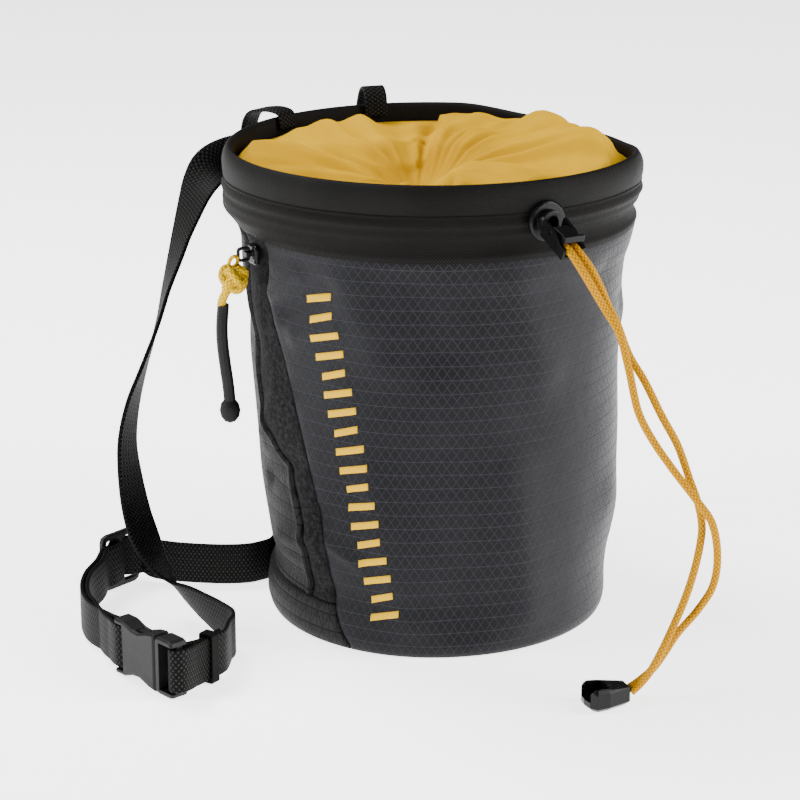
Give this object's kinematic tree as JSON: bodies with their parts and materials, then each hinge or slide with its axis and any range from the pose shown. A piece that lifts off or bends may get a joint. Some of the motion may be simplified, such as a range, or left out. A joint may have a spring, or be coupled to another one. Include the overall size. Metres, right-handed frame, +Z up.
{
  "type": "climbing chalk bag",
  "caption": "Soft cylindrical chalk bag with gathered mouth, zipped side pocket, drawcord with lever lock and a buckled webbing waist belt.",
  "frame": {"origin": "centre of the bag's flat base, on the surface it stands on", "axes": "+Z up; -Y towards the eyelet of the mouth's drawcord, the front; +Y towards the webbing loops"},
  "size_m": [0.1845, 0.1949, 0.1577],
  "materials": {
    "ripstop": "coated woven cloth",
    "black_cloth": "woven cloth",
    "collar_cloth": "woven cloth",
    "yellow_cloth": "soft cloth",
    "webbing": "woven strap",
    "cord": "braided",
    "plastic": "satin",
    "rubber": "matt",
    "glossy": "glossy"
  },
  "bodies": {
    "bag": {"front_panel": "ripstop", "back_panel": "black_cloth", "zip_flap": "black_cloth", "lower_band": "black_cloth", "base_panel": "black_cloth", "collar": "collar_cloth", "rim_hem": "collar_cloth", "liner": "yellow_cloth", "loop_left": "webbing", "loop_right": "webbing", "belt_strap": "webbing", "belt_slider": "plastic", "buckle_female": "plastic", "buckle_male": "plastic", "belt_keeper": "webbing", "eyelet": "glossy", "lock_body": "glossy", "drawcord_near": "cord", "drawcord_far": "cord", "cord_end": "glossy", "zip_slider": "glossy", "zip_tab": "glossy", "pull_knot": "cord", "pull_cord": "cord", "pull_sleeve": "rubber"},
    "lever": {"lock_lever": "glossy"}
  },
  "joints": [
    {"name": "lock_lever_hinge", "type": "hinge", "parent": "bag", "child": "lever", "pos_m": [0.00135, -0.07258, 0.13887], "axis": [-1, 0, 0], "range_deg": [0, 40]}
  ]
}
